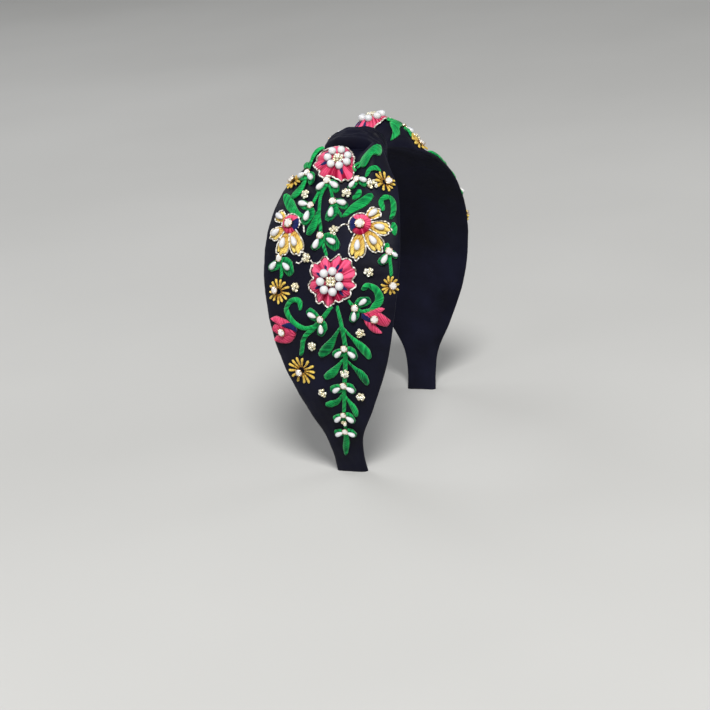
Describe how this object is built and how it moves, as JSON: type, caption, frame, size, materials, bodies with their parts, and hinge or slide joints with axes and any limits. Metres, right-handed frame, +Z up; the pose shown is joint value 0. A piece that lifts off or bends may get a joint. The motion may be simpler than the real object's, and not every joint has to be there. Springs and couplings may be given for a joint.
{
  "type": "embroidered knot headband",
  "caption": "Wide padded cloth headband with a knot at the crown, embroidered with flowers, leaves and curling stems set with pearls and stones.",
  "frame": {"origin": "on the surface it stands on, midway between the two tips", "axes": "+Z up from the tips to the crown; -Y is the way the wearer faces; -X is the wearer's right side"},
  "size_m": [0.1362, 0.0696, 0.1595],
  "materials": {
    "cloth": "soft black satin weave",
    "green_thread": "glossy satin stitch",
    "pink_thread": "glossy satin stitch",
    "navy_thread": "glossy satin stitch",
    "yellow_thread": "glossy satin stitch",
    "gold_thread": "metallic satin stitch",
    "white_cord": "twisted metallic cord, couched",
    "pearl": "pearl lustre",
    "seed_bead": "champagne glass beads",
    "stone": "clear cut glass",
    "claw": "pale gold claws"
  },
  "bodies": {
    "root": {"band": "cloth", "knot_wrap": "cloth", "right_upper_flower": "pink_thread", "right_middle_flower": "pink_thread", "right_front_fan_flower": "yellow_thread", "right_back_fan_flower": "yellow_thread", "right_daisy_top_back": "gold_thread", "right_daisy_top_front": "gold_thread", "right_daisy_middle_back": "gold_thread", "right_daisy_middle_front": "gold_thread", "right_daisy_lower_back": "gold_thread", "right_tulip_back": "pink_thread", "right_tulip_front": "pink_thread", "right_long_leaf_spray": "green_thread", "right_main_spray": "green_thread", "right_back_sprig": "green_thread", "right_front_sprig": "green_thread", "right_valley_sprig": "green_thread", "right_hook_vine": "green_thread", "right_curl_vine": "green_thread", "right_centre_spray": "green_thread", "right_crescent_leaf": "green_thread", "right_hanging_leaf": "green_thread", "right_ribbon_curl": "green_thread", "right_edge_leaf": "green_thread", "right_valley_curl": "green_thread", "left_upper_flower": "pink_thread", "left_middle_flower": "pink_thread", "left_front_fan_flower": "yellow_thread", "left_back_fan_flower": "yellow_thread", "left_daisy_top_back": "gold_thread", "left_daisy_top_front": "gold_thread", "left_daisy_middle_back": "gold_thread", "left_daisy_middle_front": "gold_thread", "left_daisy_lower_back": "gold_thread", "left_tulip_back": "pink_thread", "left_tulip_front": "pink_thread", "left_long_leaf_spray": "green_thread", "left_main_spray": "green_thread", "left_back_sprig": "green_thread", "left_front_sprig": "green_thread", "left_valley_sprig": "green_thread", "left_hook_vine": "green_thread", "left_curl_vine": "green_thread", "left_centre_spray": "green_thread", "left_crescent_leaf": "green_thread", "left_hanging_leaf": "green_thread", "left_ribbon_curl": "green_thread", "left_edge_leaf": "green_thread", "left_valley_curl": "green_thread"}
  },
  "joints": []
}
